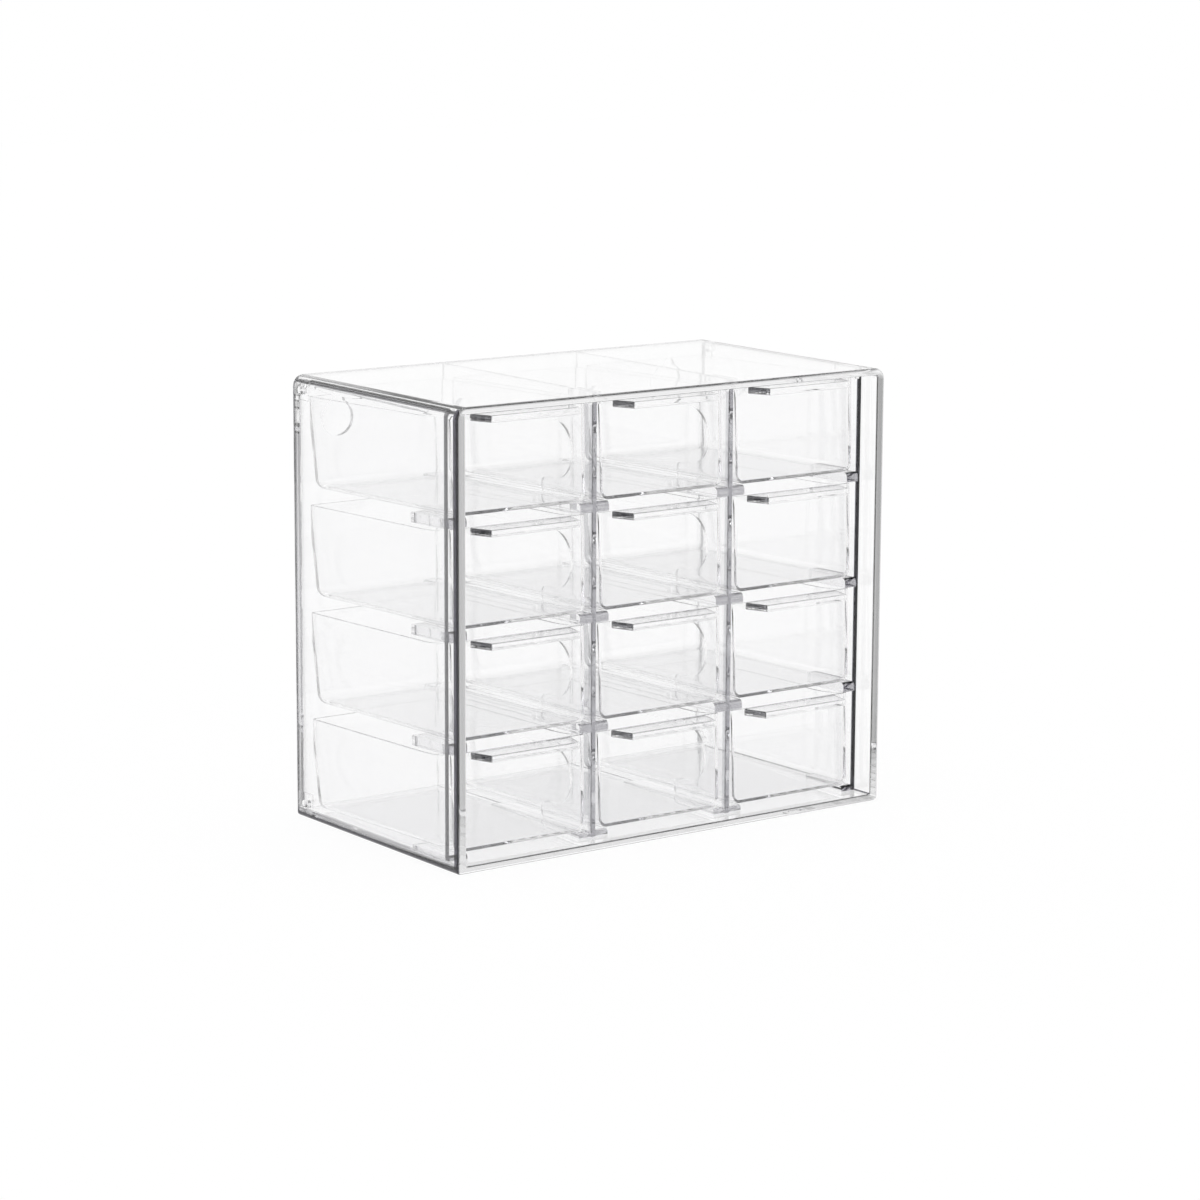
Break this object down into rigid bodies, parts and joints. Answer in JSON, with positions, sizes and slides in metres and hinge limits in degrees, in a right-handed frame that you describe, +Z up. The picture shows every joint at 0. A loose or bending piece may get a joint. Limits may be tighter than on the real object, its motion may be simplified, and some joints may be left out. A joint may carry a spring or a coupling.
{
  "type": "bead storage box",
  "caption": "Clear plastic bead storage box: a sleeve case with dividers and rails, holding rows of small pull-out drawers for beads and craft parts.",
  "frame": {"origin": "middle of the case in plan, on the surface that it stands on", "axes": "+X across the width to the viewer's right, +Y from the drawer fronts to the back, +Z up"},
  "size_m": [0.18, 0.1, 0.155],
  "materials": {
    "case_clear": "glossy, clear",
    "back_clear": "glossy, clear",
    "frame_clear": "glossy, clear",
    "drawer_clear": "glossy, clear"
  },
  "bodies": {
    "case": {"case_sleeve": "case_clear", "back_panel": "back_clear", "divider_left": "frame_clear", "divider_right": "frame_clear", "side_guide_left": "frame_clear", "side_guide_right": "frame_clear"},
    "drawer_row1_col1": {"drawer_row1_col1": "drawer_clear"},
    "drawer_row1_col2": {"drawer_row1_col2": "drawer_clear"},
    "drawer_row1_col3": {"drawer_row1_col3": "drawer_clear"},
    "drawer_row2_col1": {"drawer_row2_col1": "drawer_clear"},
    "drawer_row2_col2": {"drawer_row2_col2": "drawer_clear"},
    "drawer_row2_col3": {"drawer_row2_col3": "drawer_clear"},
    "drawer_row3_col1": {"drawer_row3_col1": "drawer_clear"},
    "drawer_row3_col2": {"drawer_row3_col2": "drawer_clear"},
    "drawer_row3_col3": {"drawer_row3_col3": "drawer_clear"},
    "drawer_row4_col1": {"drawer_row4_col1": "drawer_clear"},
    "drawer_row4_col2": {"drawer_row4_col2": "drawer_clear"},
    "drawer_row4_col3": {"drawer_row4_col3": "drawer_clear"}
  },
  "joints": [
    {"name": "drawer_row1_col1_slide", "type": "slide", "parent": "case", "child": "drawer_row1_col1", "axis": [0, -0.9997, 0.0234], "range_m": [0, 0.07]},
    {"name": "drawer_row1_col2_slide", "type": "slide", "parent": "case", "child": "drawer_row1_col2", "axis": [0, -0.9997, 0.0234], "range_m": [0, 0.07]},
    {"name": "drawer_row1_col3_slide", "type": "slide", "parent": "case", "child": "drawer_row1_col3", "axis": [0, -0.9997, 0.0234], "range_m": [0, 0.07]},
    {"name": "drawer_row2_col1_slide", "type": "slide", "parent": "case", "child": "drawer_row2_col1", "axis": [0, -0.9997, 0.0234], "range_m": [0, 0.07]},
    {"name": "drawer_row2_col2_slide", "type": "slide", "parent": "case", "child": "drawer_row2_col2", "axis": [0, -0.9997, 0.0234], "range_m": [0, 0.07]},
    {"name": "drawer_row2_col3_slide", "type": "slide", "parent": "case", "child": "drawer_row2_col3", "axis": [0, -0.9997, 0.0234], "range_m": [0, 0.07]},
    {"name": "drawer_row3_col1_slide", "type": "slide", "parent": "case", "child": "drawer_row3_col1", "axis": [0, -0.9997, 0.0234], "range_m": [0, 0.07]},
    {"name": "drawer_row3_col2_slide", "type": "slide", "parent": "case", "child": "drawer_row3_col2", "axis": [0, -0.9997, 0.0234], "range_m": [0, 0.07]},
    {"name": "drawer_row3_col3_slide", "type": "slide", "parent": "case", "child": "drawer_row3_col3", "axis": [0, -0.9997, 0.0234], "range_m": [0, 0.07]},
    {"name": "drawer_row4_col1_slide", "type": "slide", "parent": "case", "child": "drawer_row4_col1", "axis": [0, -0.9997, 0.0234], "range_m": [0, 0.07]},
    {"name": "drawer_row4_col2_slide", "type": "slide", "parent": "case", "child": "drawer_row4_col2", "axis": [0, -0.9997, 0.0234], "range_m": [0, 0.07]},
    {"name": "drawer_row4_col3_slide", "type": "slide", "parent": "case", "child": "drawer_row4_col3", "axis": [0, -0.9997, 0.0234], "range_m": [0, 0.07]}
  ]
}
